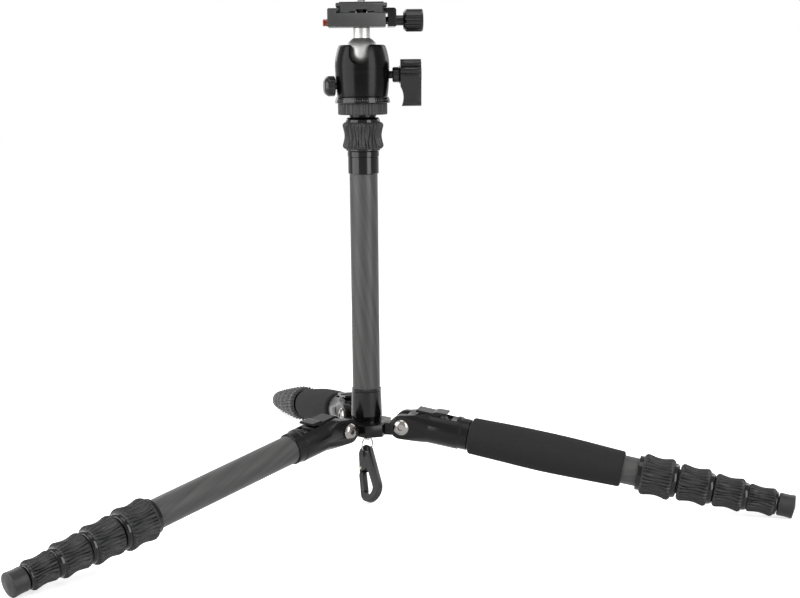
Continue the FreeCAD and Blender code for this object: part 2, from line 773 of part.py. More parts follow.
def fluted(steps, radius, count, groove_radius, depth, low, high):
    """A turned knob on Z with round grooves along its rim."""
    knob = turned(steps)
    for k in range(count):
        cutter = rod(groove_radius, low, high)
        cutter.translate(compass(360.0 * (k + 0.5) / count) * (radius + groove_radius - depth))
        knob = knob.cut(cutter)
    return knob


def make_clamp_knob():
    start, end = clamp_knob_span
    rim = clamp_knob_radius
    knob = fluted([
        (0, 6.5), (clamp_screw_radius, 6.5), (clamp_screw_radius, jaw_outer + 0.1),
        (clamp_knob_shaft, jaw_outer + 0.1), (clamp_knob_shaft, start), (rim - 2.2, start + 0.2),
        (rim, start + 2.6), (rim, end - 0.9), (rim - 0.9, end), (0, end),
    ], rim, 9, 1.9, 0.9, start - 1, end - 1.6)
    return moved(lie_along_x(knob), vec(0, 0, ball_centre + clamp_screw_height))


def make_safety_button():
    low = -clamp_left - button_out
    head = button_radius
    button = turned([
        (0, low), (head - 0.5, low), (head, low + 0.5), (head, low + 1.4), (head - 0.35, low + 1.6),
        (head - 0.35, low + 2.2), (head, low + 2.4), (head, -clamp_left + 6.0), (0, -clamp_left + 6.0),
    ])
    return moved(lie_along_x(button), vec(0, 0, ball_centre + button_height))


def make_plate():
    lift = ball_centre
    half = plate_length / 2
    bottom = lift + plate_bottom
    lip = bottom + dovetail_lip
    waist = lip + dovetail_half - neck_half
    flange = lift + plate_flange
    top = lift + plate_top
    plate = slab([
        (-dovetail_half, bottom), (dovetail_half, bottom), (dovetail_half, lip), (neck_half, waist),
        (neck_half, flange), (plate_half, flange), (plate_half, top - 0.5), (plate_half - 0.5, top),
        (-plate_half + 0.5, top), (-plate_half, top - 0.5), (-plate_half, flange), (-neck_half, flange),
        (-neck_half, waist), (-dovetail_half, lip),
    ], -half, half)
    plate = plate.cut(block((-4.2, -half - 1, bottom - 1), (4.2, half + 1, bottom + 2.5)))
    for side in (-1, 1):
        groove = block((-2.3, -half - 1, bottom - 1), (2.3, half + 1, bottom + 1.1))
        plate = plate.cut(moved(groove, vec(side * 7.2, 0, 0)))
    for x_side in (-1, 1):
        for y_side in (-1, 1):
            corner = block((neck_half, half - plate_end_relief, bottom - 1), (neck_half + 5, half + 1, flange))
            if x_side < 0:
                corner = corner.mirror(origin, x_axis)
            if y_side < 0:
                corner = corner.mirror(origin, y_axis)
            plate = plate.cut(corner)
    plate = plate.cut(rod(camera_head_radius + 0.5, bottom - 1, bottom + 4.0))
    return plate.cut(rod(camera_screw_radius + 0.25, bottom, top + 1))


def make_plate_pad():
    low = ball_centre + plate_top
    wide, deep = pad_half
    pad = block((-wide, -deep, low), (wide, deep, low + pad_thickness))
    upright = [edge for edge in pad.Edges if abs(edge.BoundBox.ZLength - pad_thickness) < 1e-6]
    pad = pad.makeFillet(2.0, upright)
    return pad.cut(rod(camera_screw_radius + 0.45, low - 1, low + 2))


def make_camera_screw():
    low = ball_centre + plate_bottom + 1.8
    foot = low - camera_boss_height
    head_top = low + 2.0
    pin = ball_centre + plate_top + pad_thickness + 0.05
    tip = pin + camera_screw_length
    screw = turned([
        (0, foot), (camera_boss_radius - 0.3, foot), (camera_boss_radius, foot + 0.3), (camera_boss_radius, low),
        (camera_head_radius - 0.4, low), (camera_head_radius, low + 0.4),
        (camera_head_radius, head_top), (camera_shank_radius, head_top), (camera_shank_radius, pin),
        (camera_screw_radius, pin), (camera_screw_radius, tip), (camera_screw_radius - 0.7, tip + 0.6),
        (0, tip + 0.6),
    ])
    return screw.cut(block((-9, -0.8, foot - 1), (9, 0.8, low)))


def make_main_knob():
    """A hub with a scalloped crown above and one long wing below, on the knob's own axis as Z."""
    crown = main_crown_radius
    wing = main_wing_reach
    tip = main_wing_half
    start, end = main_body_span
    core = Part.makeCylinder(crown - 2.4, end - start, vec(0, 0, start), z_axis)
    lobe = crown - 2.6
    for k in range(5):
        spot = compass(20.0 + 35.0 * k) * lobe
        core = core.fuse(Part.makeCylinder(2.6, end - start, vec(spot.x, spot.y, start), z_axis))
    side = crown - 2.4
    corners = [vec(-side, 0, start), vec(side, 0, start), vec(tip, tip - wing, start), vec(-tip, tip - wing, start)]
    corners.append(corners[0])
    blade = Part.Face(Part.makePolygon(corners)).extrude(vec(0, 0, end - start))
    blade = blade.fuse(Part.makeCylinder(tip, end - start, vec(0, tip - wing, start), z_axis))
    hollow_radius = 16.0
    knob = core.fuse(blade)
    scoop = Part.makeCylinder(hollow_radius, 40, vec(-20, -17.5, start - hollow_radius + 2.3), x_axis)
    knob = knob.cut(scoop)
    hub_low, hub_high = main_hub_span
    hub = turned([
        (0, hub_low), (main_hub_radius - 0.8, hub_low), (main_hub_radius, hub_low + 0.8),
        (main_hub_radius, hub_high - 1.5), (main_hub_radius + 1.6, hub_high), (0, hub_high),
    ])
    screw = rod(main_screw_radius, 8.5, hub_low)
    knob = knob.fuse(hub).fuse(screw)
    knob.rotate(origin, z_axis, 90)
    return pointing(knob, 0, ball_centre - main_knob_drop)


def make_pan_knob():
    start, end = pan_knob_span
    rim = pan_knob_radius
    knob = fluted([
        (0, spindle_radius + 0.4), (pan_screw_radius, spindle_radius + 0.4), (pan_screw_radius, start),
        (rim - 0.6, start), (rim, start + 0.6), (rim, end - 3.6),
        ((rim - 1.0, end - 1.5), (rim - 3.2, end)), (0, end),
    ], rim, 14, 0.9, 0.5, start - 1, end - 3.0)
    return pointing(knob, pan_knob_azimuth, ball_centre - pan_knob_drop)


os.makedirs("parts", exist_ok=True)
saved = []

save("spider", [make_spider()])
save("hinge_bolts", make_hinge_bolts())
save("column_ferrule", [make_column_ferrule()])
save("column_outer_tube", [make_column_outer_tube()])
save("column_collar", [make_column_collar()])
save("hook_stud", [make_hook_stud()])
save("split_ring", [make_split_ring()])
clip_frame, clip_rivet = [leaning(s) for s in make_clip_body()]
save("clip_body", [clip_frame.cut(make_split_ring(0.25)), clip_rivet])
save("clip_gate", [leaning(make_clip_gate())])

column_lock = lock_solids(column_lock_length, column_lock_radius, tube_radii[0], tube_radii[1])
save("column_lock", [moved(s, vec(0, 0, column_lock_base)) for s in column_lock])
save("column_inner_tube", [make_column_inner_tube()])
save("head_platform", [make_head_platform()])
save("head_base_ring", [make_base_ring()])
save("head_housing", [make_housing()])
save("main_knob", [make_main_knob()])
save("pan_knob", [make_pan_knob()])
save("ball", [make_ball()])
save("ball_stem", [make_ball_stem()])
save("clamp_body", [make_clamp_body()])
save("clamp_jaw", [make_clamp_jaw()])
save("clamp_knob", [make_clamp_knob()])
save("safety_button", [make_safety_button()])
save("quick_release_plate", [make_plate()])
save("plate_pad", [make_plate_pad()])
save("camera_screw", [make_camera_screw()])

for leg_name, leg_azimuth in leg_azimuths.items():
    make_leg(leg_name, leg_azimuth)

print(len(saved), "pieces; hinge height", round(pivot_height, 3), "ball centre", round(ball_centre, 3))
print("column axis at", round(column_offset, 4), "clip lean", round(math.degrees(clip_lean()), 3))
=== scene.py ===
# Looks for a small carbon tripod with a ball head: rubber, foam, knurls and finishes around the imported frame.
import json
import math

import bmesh
import bpy
import numpy as np
from mathutils import Matrix, Vector


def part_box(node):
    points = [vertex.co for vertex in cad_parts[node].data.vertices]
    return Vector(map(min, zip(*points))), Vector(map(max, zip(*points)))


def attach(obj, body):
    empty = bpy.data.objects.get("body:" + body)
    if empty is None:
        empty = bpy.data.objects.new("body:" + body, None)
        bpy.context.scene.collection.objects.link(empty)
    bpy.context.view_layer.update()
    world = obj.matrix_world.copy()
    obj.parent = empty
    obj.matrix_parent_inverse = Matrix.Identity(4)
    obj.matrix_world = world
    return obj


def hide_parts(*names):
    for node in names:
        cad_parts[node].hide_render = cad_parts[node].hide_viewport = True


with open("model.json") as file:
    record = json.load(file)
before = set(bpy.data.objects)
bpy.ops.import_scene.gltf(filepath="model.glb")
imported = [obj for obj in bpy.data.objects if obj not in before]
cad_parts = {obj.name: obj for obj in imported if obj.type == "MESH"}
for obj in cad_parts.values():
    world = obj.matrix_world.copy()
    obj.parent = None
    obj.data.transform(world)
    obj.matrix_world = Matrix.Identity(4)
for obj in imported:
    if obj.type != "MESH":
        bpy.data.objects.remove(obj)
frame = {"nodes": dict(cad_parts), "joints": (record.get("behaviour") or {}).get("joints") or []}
nodes = frame["nodes"]
joints = {joint["name"]: joint for joint in frame["joints"]}
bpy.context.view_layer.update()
mm = 0.001
legNames = ("left", "right", "rear")
foamLegs = ("right", "rear")
print("frame loaded:", len(nodes), "nodes")


# small helpers
def jointPoint(name):
    return Vector(joints[name]["pos_m"])


def jointAxis(name):
    return Vector(joints[name]["axis"]).normalized()


def placedOn(point, direction, side=None):
    # a matrix that carries a piece made on Z to this point, Z along the direction and X near the side
    up = Vector(direction).normalized()
    hint = Vector(side) if side is not None else Vector((0, 0, 1))
    if abs(up.dot(hint)) > 0.98:
        hint = Vector((1, 0, 0))
    across = (hint - up * hint.dot(up)).normalized()
    through = up.cross(across)
    turn = Matrix((across, through, up)).transposed().to_4x4()
    return Matrix.Translation(Vector(point)) @ turn


def joinShells(shells):
    # several (points, faces, finish number) shells as one list
    points, faces, marks = [], [], []
    for shellPoints, shellFaces, mark in shells:
        first = len(points)
        points += list(shellPoints)
        faces += [tuple(first + k for k in face) for face in shellFaces]
        marks += [mark] * len(shellFaces)
    return points, faces, marks


def addPiece(name, shells, looks, body, place=None, edgeAngle=34, replaced=()):
    # one visible piece: its mesh, its body, its slot and the nodes it stands for
    points, faces, marks = joinShells(shells)
    mesh = bpy.data.meshes.new(name)
    mesh.from_pydata([tuple(p) for p in points], [], faces)
    for look in looks:
        mesh.materials.append(look)
    mesh.polygons.foreach_set("material_index", marks)
    shaping = bmesh.new()
    shaping.from_mesh(mesh)
    bmesh.ops.recalc_face_normals(shaping, faces=shaping.faces)
    shaping.to_mesh(mesh)
    shaping.free()
    if place is not None:
        mesh.transform(place)
    mesh.shade_smooth()
    mesh.set_sharp_from_angle(angle=math.radians(edgeAngle))
    mesh.update()
    piece = bpy.data.objects.new(name, mesh)
    bpy.context.scene.collection.objects.link(piece)
    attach(piece, body)
    if replaced:
        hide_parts(*replaced)
    return piece


def spun(profile, around, relief=None, mark=0):
    # turns (radius, height, share of the relief) points about Z, all in millimetres
    rings, points, faces = [], [], []
    angles = np.linspace(0, 2 * math.pi, around, endpoint=False)
    for step in profile:
        radius, height = step[0], step[1]
        share = step[2] if len(step) > 2 else 0.0
        if radius < 1e-6:
            rings.append([len(points)])
            points.append((0.0, 0.0, height * mm))
            continue
        reach = np.full(around, radius)
        if relief is not None and share:
            reach = reach + share * relief(angles, height)
        rings.append(list(range(len(points), len(points) + around)))
        for angle, r in zip(angles, reach):
            points.append((r * mm * math.cos(angle), r * mm * math.sin(angle), height * mm))
    closed = len(rings[0]) > 1 and len(rings[-1]) > 1
    pairs = list(zip(rings, rings[1:])) + ([(rings[-1], rings[0])] if closed else [])
    for low, high in pairs:
        for k in range(around):
            nextK = (k + 1) % around
            if len(low) == 1 and len(high) == 1:
                break
            if len(low) == 1:
                faces.append((low[0], high[k], high[nextK]))
            elif len(high) == 1:
                faces.append((low[k], low[nextK], high[0]))
            else:
                faces.append((low[k], low[nextK], high[nextK], high[k]))
    return points, faces, mark


def arcSteps(centre, radius, startDeg, endDeg, count, share=0.0):
    # points along a circle in the (radius, height) plane
    steps = []
    for k in range(count + 1):
        angle = math.radians(startDeg + (endDeg - startDeg) * k / count)
        across, up = radius * math.cos(angle), radius * math.sin(angle)
        steps.append((centre[0] + across, centre[1] + up, share))
    return steps


def sweptTube(path, radius, sides=10, mark=0, taper=None, sideHint=(0, 0, 1)):
    # a round bar along a list of points, with flat ends
    path = [Vector(p) for p in path]
    points, faces = [], []
    count = len(path)
    for i, here in enumerate(path):
        ahead = path[min(i + 1, count - 1)] - path[max(i - 1, 0)]
        ahead.normalize()
        hint = Vector(sideHint)
        across = (hint - ahead * hint.dot(ahead)).normalized()
        through = ahead.cross(across)
        r = radius * (taper(i / (count - 1)) if taper else 1.0)
        for k in range(sides):
            angle = 2 * math.pi * k / sides
            points.append(here + across * (r * math.cos(angle)) + through * (r * math.sin(angle)))
    for i in range(count - 1):
        for k in range(sides):
            a, b = i * sides + k, i * sides + (k + 1) % sides
            faces.append((a, b, b + sides, a + sides))
    faces.append(tuple(range(sides))[::-1])
    faces.append(tuple(range((count - 1) * sides, count * sides)))
    return [tuple(p) for p in points], faces, mark


softening = {"mergeWithin": 1e-6, "flatWithinDeg": 1.2, "roundAboveDeg": 32, "sharpAboveDeg": 40, "segments": 2}


def softenedCopy(node, name, finishMaterial, body, edgeWidth):
    # the frame's own shape with its sharp edges rounded a little
    mesh = nodes[node].data.copy()
    mesh.name = name
    mesh.materials.clear()
    mesh.materials.append(finishMaterial)
    shaping = bmesh.new()
    shaping.from_mesh(mesh)
    bmesh.ops.remove_doubles(shaping, verts=shaping.verts, dist=softening["mergeWithin"])
    flatWithin = math.radians(softening["flatWithinDeg"])
    bmesh.ops.dissolve_limit(shaping, angle_limit=flatWithin, verts=shaping.verts, edges=shaping.edges)
    bmesh.ops.recalc_face_normals(shaping, faces=shaping.faces)
    for face in shaping.faces:
        face.material_index = 0
    shaping.to_mesh(mesh)
    shaping.free()
    if "custom_normal" in mesh.attributes:
        mesh.attributes.remove(mesh.attributes["custom_normal"])
    piece = bpy.data.objects.new(name, mesh)
    bpy.context.scene.collection.objects.link(piece)
    bevel = piece.modifiers.new("rounding", "BEVEL")
    bevel.width = edgeWidth * mm
    bevel.segments = softening["segments"]
    bevel.limit_method = "ANGLE"
    bevel.angle_limit = math.radians(softening["roundAboveDeg"])
    bevel.use_clamp_overlap = True
    bakeModifiers(piece)
    piece.data.shade_smooth()
    piece.data.set_sharp_from_angle(angle=math.radians(softening["sharpAboveDeg"]))
    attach(piece, body)
    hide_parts(node)
    return piece


def bakeModifiers(piece):
    # puts the result of the piece's modifiers in its own mesh
    depsgraph = bpy.context.evaluated_depsgraph_get()
    depsgraph.update()
    result = bpy.data.meshes.new_from_object(piece.evaluated_get(depsgraph))
    result.name = piece.name
    piece.modifiers.clear()
    piece.data = result


# finishes
def startMaterial(name):
    # an empty material with one shader, and the place of each point on the piece
    material = bpy.data.materials.new(name)
    material.use_nodes = True
    tree = material.node_tree
    tree.nodes.clear()
    output = tree.nodes.new("ShaderNodeOutputMaterial")
    shader = tree.nodes.new("ShaderNodeBsdfPrincipled")
    tree.links.new(shader.outputs["BSDF"], output.inputs["Surface"])
    coordinates = tree.nodes.new("ShaderNodeTexCoord")
    return material, tree, shader, coordinates.outputs["Object"]


noiseLook = {"detail": 2.0, "roughness": 0.55}


def addNoise(tree, vector, scale):
    noise = tree.nodes.new("ShaderNodeTexNoise")
    noise.inputs["Scale"].default_value = scale
    noise.inputs["Detail"].default_value = noiseLook["detail"]
    noise.inputs["Roughness"].default_value = noiseLook["roughness"]
    tree.links.new(vector, noise.inputs["Vector"])
    return noise.outputs["Fac"]


def addRange(tree, value, low, high, fromLow=0.3, fromHigh=0.7):
    spread = tree.nodes.new("ShaderNodeMapRange")
    spread.inputs["From Min"].default_value = fromLow
    spread.inputs["From Max"].default_value = fromHigh
    spread.inputs["To Min"].default_value = low
    spread.inputs["To Max"].default_value = high
    tree.links.new(value, spread.inputs["Value"])
    return spread.outputs["Result"]


def addBlend(tree, factor, first, second):
    blend = tree.nodes.new("ShaderNodeMix")
    blend.data_type = "RGBA"
    tree.links.new(factor, blend.inputs["Factor"])
    for socket, colour in (("A", first), ("B", second)):
        target = [s for s in blend.inputs if s.name == socket and s.type == "RGBA"][0]
        if hasattr(colour, "is_output"):
            tree.links.new(colour, target)
        else:
            target.default_value = (*colour, 1.0)
    return [s for s in blend.outputs if s.type == "RGBA"][0]


def addBump(tree, shader, height, strength, distance):
    bump = tree.nodes.new("ShaderNodeBump")
    bump.inputs["Strength"].default_value = strength
    bump.inputs["Distance"].default_value = distance * mm
    tree.links.new(height, bump.inputs["Height"])
    tree.links.new(bump.outputs["Normal"], shader.inputs["Normal"])


patchLook = {"scale": 60.0, "share": 0.35}


def grainedFinish(name, recipe):
    # a fine-grained surface: two tones, a little unevenness in its gloss and a fine texture
    material, tree, shader, place = startMaterial(name)
    grain = addNoise(tree, place, recipe["grain"])
    patches = addNoise(tree, place, patchLook["scale"])
    tones = addBlend(tree, addRange(tree, grain, 0.0, 1.0), recipe["dark"], recipe["light"])
    tones = addBlend(tree, addRange(tree, patches, 0.0, patchLook["share"]), tones, recipe["light"])
    tree.links.new(tones, shader.inputs["Base Color"])
    low, high = recipe["rough"]
    tree.links.new(addRange(tree, patches, low, high), shader.inputs["Roughness"])
    shader.inputs["Metallic"].default_value = recipe.get("metal", 0.0)
    shader.inputs["Specular IOR Level"].default_value = recipe.get("specular", 0.5)
    if "bump" in recipe:
        addBump(tree, shader, grain, recipe["bump"], recipe["bumpDepth"])
    return material


finishRecipes = {
    "rubber": {"dark": (0.014, 0.014, 0.0145), "light": (0.027, 0.027, 0.028), "grain": 2600.0,
               "rough": (0.44, 0.56), "specular": 0.2, "bump": 0.35, "bumpDepth": 0.06},
    "legRubber": {"dark": (0.008, 0.008, 0.0085), "light": (0.017, 0.017, 0.018), "grain": 2600.0,
                  "rough": (0.38, 0.50), "specular": 0.22, "bump": 0.35, "bumpDepth": 0.06},
    "glossBlack": {"dark": (0.0015, 0.0015, 0.0015), "light": (0.0025, 0.0025, 0.0025), "grain": 900.0,
                   "rough": (0.18, 0.24), "specular": 0.09},
    "ferruleBlack": {"dark": (0.002, 0.002, 0.002), "light": (0.003, 0.003, 0.003), "grain": 900.0,
                     "rough": (0.14, 0.20), "specular": 0.22},
    "nutBlack": {"dark": (0.002, 0.002, 0.002), "light": (0.003, 0.003, 0.003), "grain": 900.0,
                 "rough": (0.05, 0.09), "specular": 0.24},
    "satinBlack": {"dark": (0.003, 0.003, 0.003), "light": (0.005, 0.005, 0.005), "grain": 2400.0,
                   "rough": (0.20, 0.27), "specular": 0.15, "bump": 0.12, "bumpDepth": 0.02},
    "knobBlack": {"dark": (0.003, 0.003, 0.004), "light": (0.006, 0.006, 0.007), "grain": 2400.0,
                  "rough": (0.18, 0.26), "specular": 0.26, "bump": 0.15, "bumpDepth": 0.03},
    "clampGrey": {"dark": (0.020, 0.020, 0.021), "light": (0.030, 0.030, 0.031), "grain": 3000.0,
                  "rough": (0.38, 0.46), "specular": 0.3, "bump": 0.3, "bumpDepth": 0.03},
    "silver": {"dark": (0.33, 0.33, 0.325), "light": (0.40, 0.40, 0.39), "grain": 2600.0, "metal": 1.0,
               "rough": (0.42, 0.50), "bump": 0.12, "bumpDepth": 0.02},
    "chrome": {"dark": (0.17, 0.162, 0.155), "light": (0.22, 0.21, 0.20), "grain": 800.0, "metal": 1.0,
               "rough": (0.12, 0.18)},
    "wire": {"dark": (0.26, 0.26, 0.255), "light": (0.34, 0.34, 0.33), "grain": 900.0, "metal": 1.0,
             "rough": (0.18, 0.26)},
    "copperRed": {"dark": (0.13, 0.026, 0.017), "light": (0.19, 0.042, 0.027), "grain": 2000.0, "metal": 1.0,
                  "rough": (0.24, 0.32)},
    "clipBlack": {"dark": (0.011, 0.011, 0.012), "light": (0.018, 0.018, 0.019), "grain": 2200.0,
                  "rough": (0.42, 0.52), "specular": 0.25, "bump": 0.3, "bumpDepth": 0.04},
    "tickWhite": {"dark": (0.20, 0.20, 0.19), "light": (0.28, 0.28, 0.27), "grain": 3000.0,
                  "rough": (0.5, 0.6), "specular": 0.2},
    "padRubber": {"dark": (0.010, 0.010, 0.011), "light": (0.018, 0.018, 0.019), "grain": 1800.0,
                  "rough": (0.7, 0.85), "specular": 0.15, "bump": 0.4, "bumpDepth": 0.08},
    "brassRivet": {"dark": (0.24, 0.20, 0.15), "light": (0.34, 0.30, 0.23), "grain": 1500.0, "metal": 1.0,
                   "rough": (0.28, 0.38)},
}
finishes = {name: grainedFinish(name, recipe) for name, recipe in finishRecipes.items()}

foamLook = {"dark": (0.011, 0.011, 0.0115), "light": (0.026, 0.026, 0.027), "cells": 2100.0, "pores": 5200.0,
            "rough": 0.93, "specular": 0.1, "bump": 0.5, "bumpDepth": 0.16}


def foamFinish():
    material, tree, shader, place = startMaterial("foam")
    cells = tree.nodes.new("ShaderNodeTexVoronoi")
    cells.inputs["Scale"].default_value = foamLook["cells"]
    tree.links.new(place, cells.inputs["Vector"])
    pores = addNoise(tree, place, foamLook["pores"])
    tones = addBlend(tree, addRange(tree, pores, 0.0, 1.0), foamLook["dark"], foamLook["light"])
    tree.links.new(tones, shader.inputs["Base Color"])
    shader.inputs["Roughness"].default_value = foamLook["rough"]
    shader.inputs["Specular IOR Level"].default_value = foamLook["specular"]
    addBump(tree, shader, cells.outputs["Distance"], foamLook["bump"], foamLook["bumpDepth"])
    return material


finishes["foam"] = foamFinish()

carbonLook = {
    "dark": (0.046, 0.046, 0.047),
    "light": (0.070, 0.068, 0.066),
    "twist": 22.0,  # radians a metre
    "streaks": 230.0,
    "fibres": 2600.0,
    "stretch": 0.028,
    "rough": (0.36, 0.46),
    "specular": 0.16,
    "streakEdges": (0.36, 0.64),
    "fibreShare": 0.30,
    "bump": 0.10,
    "bumpDepth": 0.03,
}


def carbonFinish(name, point, direction):
    # long streaks that wind slowly round the tube
    material, tree, shader, place = startMaterial(name)
    onTube = tree.nodes.new("ShaderNodeMapping")
    onTube.vector_type = "TEXTURE"
    onTube.inputs["Location"].default_value = point
    onTube.inputs["Rotation"].default_value = placedOn(point, direction).to_euler("XYZ")
    tree.links.new(place, onTube.inputs["Vector"])
    split = tree.nodes.new("ShaderNodeSeparateXYZ")
    tree.links.new(onTube.outputs["Vector"], split.inputs["Vector"])
    winding = tree.nodes.new("ShaderNodeMath")
    winding.operation = "MULTIPLY"
    winding.inputs[1].default_value = carbonLook["twist"]
    tree.links.new(split.outputs["Z"], winding.inputs[0])
    turned = tree.nodes.new("ShaderNodeVectorRotate")
    turned.rotation_type = "Z_AXIS"
    tree.links.new(onTube.outputs["Vector"], turned.inputs["Vector"])
    tree.links.new(winding.outputs["Value"], turned.inputs["Angle"])
    drawn = tree.nodes.new("ShaderNodeMapping")
    drawn.inputs["Scale"].default_value = (1.0, 1.0, carbonLook["stretch"])
    tree.links.new(turned.outputs["Vector"], drawn.inputs["Vector"])
    streaks = addNoise(tree, drawn.outputs["Vector"], carbonLook["streaks"])
    fibres = addNoise(tree, drawn.outputs["Vector"], carbonLook["fibres"])
    share = addRange(tree, streaks, 0.0, 1.0, *carbonLook["streakEdges"])
    tones = addBlend(tree, share, carbonLook["dark"], carbonLook["light"])
    fine = addBlend(tree, addRange(tree, fibres, 0.0, carbonLook["fibreShare"]), tones, carbonLook["dark"])
    tree.links.new(fine, shader.inputs["Base Color"])
    low, high = carbonLook["rough"]
    tree.links.new(addRange(tree, streaks, high, low), shader.inputs["Roughness"])
    shader.inputs["Specular IOR Level"].default_value = carbonLook["specular"]
    addBump(tree, shader, fibres, carbonLook["bump"], carbonLook["bumpDepth"])
    return material


tubeAxes = {"column": (jointPoint("column_lock_turn"), Vector((0, 0, 1)))}
for leg in legNames:
    tubeAxes[leg] = (jointPoint(leg + "_lock_1_turn"), jointAxis(leg + "_section_2_slide"))
carbon = {name: carbonFinish("carbon_" + name, *axis) for name, axis in tubeAxes.items()}
print("finishes made:", len(finishes) + len(carbon))


def paint(node, material):
    mesh = nodes[node].data
    mesh.materials.clear()
    mesh.materials.append(material)


for leg in legNames:
    for index in range(1, 5):
        paint(leg + "_section_" + str(index), carbon[leg])
paint("column_outer_tube", carbon["column"])
paint("column_inner_tube", carbon["column"])
plainPaint = {
    "column_ferrule": "ferruleBlack",
    "column_collar": "ferruleBlack",
    "head_base_ring": "ferruleBlack",
    "head_housing": "glossBlack",
    "ball": "silver",
    "ball_stem": "silver",
    "hook_stud": "silver",
    "hinge_bolts": "chrome",
    "safety_button": "copperRed",
    "plate_pad": "padRubber",
    "pan_knob": "knobBlack",
    "clamp_knob": "knobBlack",
}
for node, finishName in plainPaint.items():
    paint(node, finishes[finishName])

# twist locks: a glossy nut with a ridged rubber sleeve
lockLook = {
    "lengths": (24.4, 23.6, 22.6, 21.4),
    "radii": (16.2, 14.6, 13.0, 10.9),
    "ridges": (34, 32, 30, 28),
    "crowns": (3.5, 3.5, 3.5, 1.5),  # glossy ring past each sleeve
    "firstRing": 3.4,  # glossy ring before each leg's first sleeve
    "legFade": 0.5,
    "columnFade": 0.1,
    "legSpan": (0.0, 1.0),  # the sleeve's share of its lock
    "columnLength": 26.0,
    "columnRadius": 16.2,
    "columnRidges": 33,
    "columnSpan": (0.05, 0.86),
    "depth": 1.25,
    "coreLess": 3.4,
    "slideGap": 0.3,
    "waist": 0.10,
    "waistReach": 0.82,
    "waistPower": 1.3,
    "shoulderFrom": 0.68,
    "shoulderDrop": 3.2,
    "reliefFadesFrom": 0.86,
    "ridgeSharpness": 0.65,
    "rows": 30,
    "stepsPerRidge": 8,
    "tubeShare": 0.6,
    "crownFoot": 0.83,  # shares of the lock's radius
    "crownTop": 0.70,
    "crownSteps": 8,
    "nutAround": 96,
}
tubeRadii = (11.0, 9.5, 8.0, 6.5, 5.0)


def nutShell(lock):
    # the glossy body: a ring below the sleeve where there is one, a core inside it and a crown past it
    length, radius = lock["length"], lock["radius"]
    core = radius - lockLook["coreLess"]
    low, high = (share * length for share in lock["span"])
    step = lockLook["tubeShare"] * length + 0.5
    wide = lock["wideTube"] + lockLook["slideGap"]
    narrow = lock["narrowTube"] + lockLook["slideGap"]
    start = low - lock["ring"]
    shoulder = lockLook["crownFoot"] * radius
    crown = lockLook["crownTop"] * radius
    foot = shoulder if lock["ring"] > 0 else core
    profile = [(wide, start + 0.25), (wide + 0.15, start + 0.1)]
    profile += arcSteps((foot - 0.5, start + 0.6), 0.5, -90, 0, 4)
    profile += [(foot, low + 0.62), (core, low + 0.64), (core, high - 0.3)]
    profile.append((shoulder, high - 0.25))
    for k in range(lockLook["crownSteps"] + 1):
        turn = math.radians(90 * k / lockLook["crownSteps"])
        profile.append((crown + (shoulder - crown) * math.cos(turn), high + lock["crown"] * math.sin(turn)))
    end = high + lock["crown"]
    profile += [(narrow + 0.2, end), (narrow, end - 0.2), (narrow, step), (wide, step)]
    return spun(profile, lockLook["nutAround"], mark=1)


def sleeveShell(lock):
    # the rubber sleeve: a waisted barrel with ridges that sway round it
    radius, ridges, phaseShift = lock["radius"], lock["ridges"], lock["shift"]
    core = radius - lockLook["coreLess"] + 0.02
    low, high = (share * lock["length"] for share in lock["span"])
    middle = (low + high) / 2
    half = (high - low) / 2
    rows = lockLook["rows"]

    def ridgeRelief(angles, height):
        # three slow waves push the ridges sideways, and they fade in the middle
        s = (height - middle) / half
        sway = 1.5 * np.sin(7 * angles + phaseShift) * math.cos(2.6 * s)
        sway += 1.3 * np.sin(3 * angles + 1.3 + phaseShift) * np.sin(2.9 * s + 0.8 * np.sin(2 * angles))
        sway += 0.9 * np.sin(13 * angles + 2.1) * math.sin(3.6 * s + 0.5)
        wave = (0.5 + 0.5 * np.cos(ridges * angles + sway)) ** lockLook["ridgeSharpness"]
        strength = 1.0 - lock["fade"] * (1.0 - min(1.0, abs(s) * 1.6))
        return lockLook["depth"] * strength * (wave - 1.0)

    profile = []
    for k in range(rows + 1):
        s = -math.cos(math.pi * k / rows)
        dip = math.cos(math.pi * min(1.0, abs(s) / lockLook["waistReach"]) / 2) ** lockLook["waistPower"]
        reach = radius * (1.0 - lockLook["waist"] * dip)
        shoulder, fading = lockLook["shoulderFrom"], lockLook["reliefFadesFrom"]
        if abs(s) > shoulder:
            t = (abs(s) - shoulder) / (1.0 - shoulder)
            reach -= lockLook["shoulderDrop"] * (1.0 - math.sqrt(max(0.0, 1.0 - t ** 2)))
        share = 1.0 - max(0.0, (abs(s) - fading) / (1.0 - fading))
        profile.append((max(reach, core + 0.3), middle + half * s, share))
    profile += [(core, high, 0.0), (core, low, 0.0)]
    return spun(profile, ridges * lockLook["stepsPerRidge"], ridgeRelief, mark=0)


def addLock(name, body, centre, direction, lock, rubber):
    start = Vector(centre) - Vector(direction) * (lock["length"] / 2 * mm)
    place = placedOn(start, direction)
    looks = [finishes[rubber], finishes["nutBlack"]]
    addPiece(name, [sleeveShell(lock), nutShell(lock)], looks, body, place, 38, [lock["node"]])


